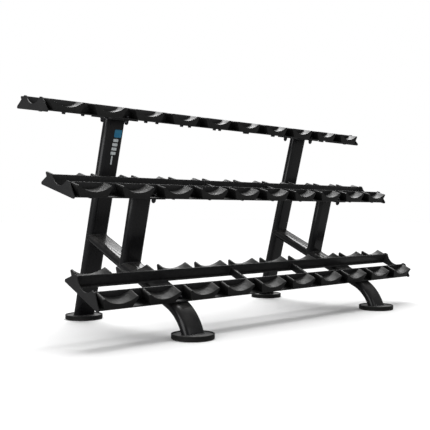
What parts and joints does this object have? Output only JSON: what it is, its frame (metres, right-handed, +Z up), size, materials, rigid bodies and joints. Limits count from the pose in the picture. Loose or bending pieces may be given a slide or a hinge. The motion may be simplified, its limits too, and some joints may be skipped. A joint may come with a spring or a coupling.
{
  "type": "dumbbell rack",
  "caption": "Tiered rack whose tilted trays hold dumbbells in moulded saddles, on welded flat-oval tube frames with round rubber feet.",
  "frame": {"origin": "on the floor, midway between the four feet", "axes": "+X along the rack to the right, -Y to the front, +Z up"},
  "size_m": [2.37, 1.056, 1.113],
  "materials": {
    "frame_paint": "satin black powder coat",
    "rail_paint": "satin black powder coat",
    "plate_paint": "fine-textured black powder coat",
    "saddle_plastic": "moulded satin black, worn lighter in the cradle",
    "pad_rubber": "moulded matt",
    "black_steel": "black oxide",
    "insert_brass": "turned"
  },
  "bodies": {
    "root": {"rear_upright_left": "frame_paint", "rear_upright_right": "frame_paint", "front_upright_left": "frame_paint", "front_upright_right": "frame_paint", "base_leg_left": "frame_paint", "base_leg_right": "frame_paint", "foot_plate_rear_left": "plate_paint", "foot_plate_rear_right": "plate_paint", "foot_plate_front_left": "plate_paint", "foot_plate_front_right": "plate_paint", "foot_pad_rear_left": "pad_rubber", "foot_pad_rear_right": "pad_rubber", "foot_pad_front_left": "pad_rubber", "foot_pad_front_right": "pad_rubber", "mount_plate_top_left": "plate_paint", "mount_plate_top_right": "plate_paint", "mount_plate_middle_left": "plate_paint", "mount_plate_middle_right": "plate_paint", "mount_plate_bottom_left": "plate_paint", "mount_plate_bottom_right": "plate_paint", "rail_base_top_front": "rail_paint", "rail_base_top_rear": "rail_paint", "rail_base_middle_front": "rail_paint", "rail_base_middle_rear": "rail_paint", "rail_base_bottom_front": "rail_paint", "rail_base_bottom_rear": "rail_paint", "rail_web_top_front": "rail_paint", "rail_web_top_rear": "rail_paint", "rail_web_middle_front": "rail_paint", "rail_web_middle_rear": "rail_paint", "rail_web_bottom_front": "rail_paint", "rail_web_bottom_rear": "rail_paint", "end_plate_top_left": "plate_paint", "end_plate_top_right": "plate_paint", "end_plate_middle_left": "plate_paint", "end_plate_middle_right": "plate_paint", "end_plate_bottom_left": "plate_paint", "end_plate_bottom_right": "plate_paint", "cross_tie_top_left": "rail_paint", "cross_tie_top_right": "rail_paint", "cross_tie_middle_left": "rail_paint", "cross_tie_middle_right": "rail_paint", "cross_tie_bottom_left": "rail_paint", "cross_tie_bottom_right": "rail_paint", "saddles_top_front": "saddle_plastic", "saddles_top_rear": "saddle_plastic", "saddles_middle_front": "saddle_plastic", "saddles_middle_rear": "saddle_plastic", "saddles_bottom_front": "saddle_plastic", "saddles_bottom_rear": "saddle_plastic", "saddle_inserts": "insert_brass", "saddle_bolts": "black_steel", "saddle_washers": "black_steel", "tray_bolts": "black_steel", "tray_head_washers": "black_steel", "tray_nut_washers": "black_steel", "tray_cap_nuts": "black_steel", "beam_weld_nuts": "black_steel", "pad_screws": "black_steel"}
  },
  "joints": []
}
